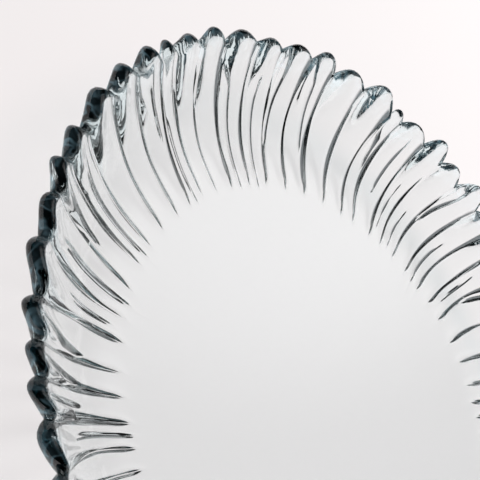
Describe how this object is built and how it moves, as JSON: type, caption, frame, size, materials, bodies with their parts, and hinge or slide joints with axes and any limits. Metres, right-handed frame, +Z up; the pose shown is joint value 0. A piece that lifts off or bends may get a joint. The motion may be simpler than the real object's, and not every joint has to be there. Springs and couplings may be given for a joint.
{
  "type": "oval serving platter",
  "caption": "Oval clear-glass serving platter with a flat well, a flaring rim of radial pleats and a thick lobed lip, for serving food at table.",
  "frame": {"origin": "centre of the flat base, on the table plane", "axes": "+X along the platter's length, +Y across its width, +Z up"},
  "size_m": [0.402, 0.2627, 0.0388],
  "materials": {
    "glass": "clear, colourless, fire-polished"
  },
  "bodies": {
    "root": {"platter": "glass"}
  },
  "joints": []
}
